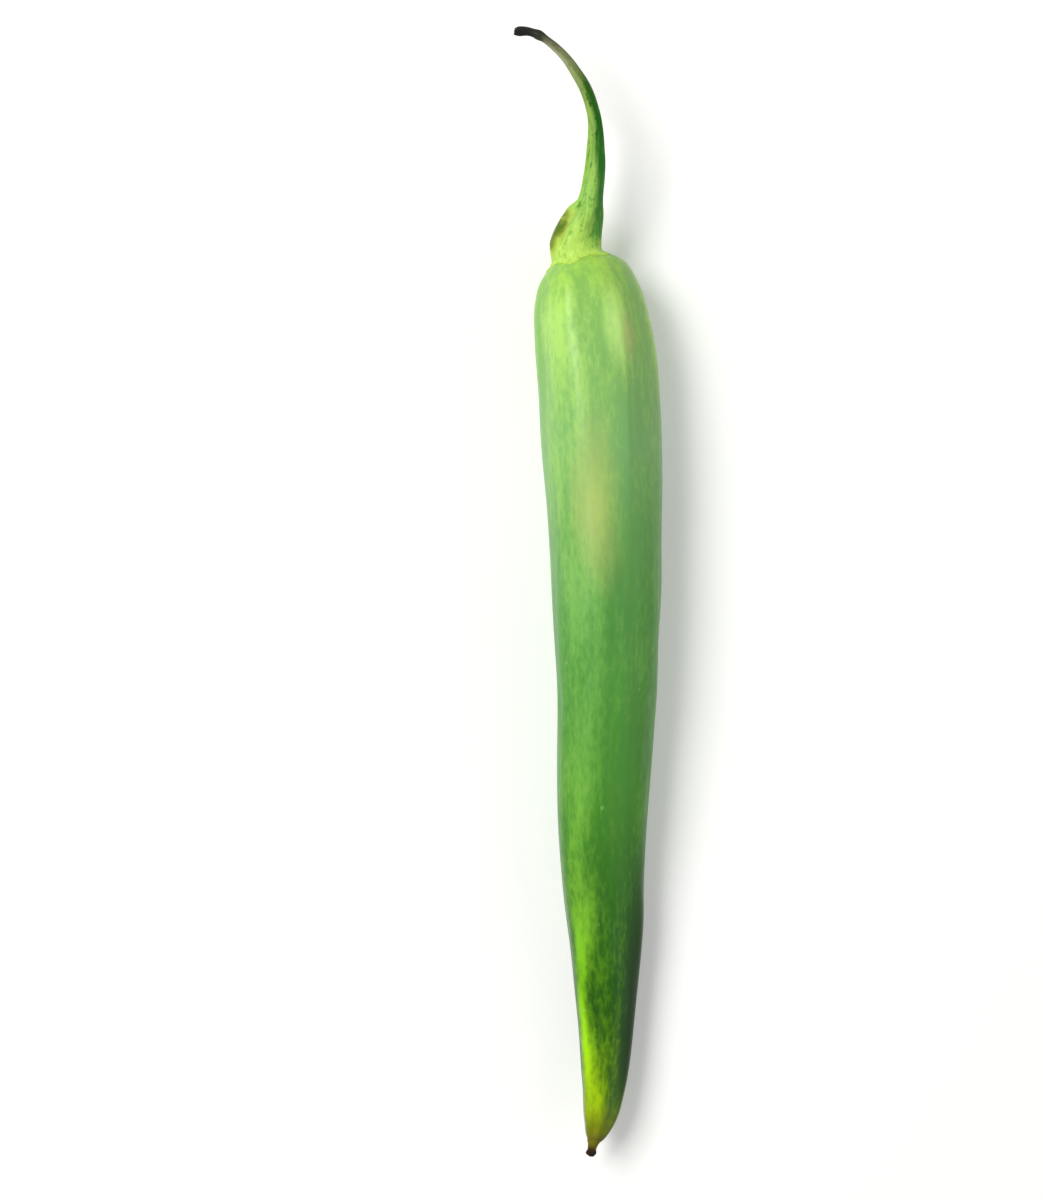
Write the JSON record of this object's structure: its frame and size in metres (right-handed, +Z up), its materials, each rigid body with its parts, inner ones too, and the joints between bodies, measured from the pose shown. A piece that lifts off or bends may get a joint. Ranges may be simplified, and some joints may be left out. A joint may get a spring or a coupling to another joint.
{
  "type": "chili pepper",
  "caption": "Long tapering fresh green chili pepper lying on its side, with a toothed calyx, a thin curved stem and a dried style at the tip.",
  "frame": {"origin": "on the surface that the pepper lies on, under the middle of its box", "axes": "+Y from the pod's point towards the stem, +X across the pepper, away from the side that the stem bends to, +Z up from the surface"},
  "size_m": [0.0164, 0.1242, 0.0132],
  "materials": {
    "pod_skin": "smooth waxy skin, mid green with lighter lime ridges",
    "calyx": "satin, yellow-green with faint ribs and a browned rim",
    "stem": "satin, green turning olive brown, nearly black at the broken end",
    "dried_style": "dry and matt, dark brown"
  },
  "bodies": {
    "root": {"pod": "pod_skin", "calyx": "calyx", "stem": "stem", "style_tip": "dried_style"}
  },
  "joints": []
}
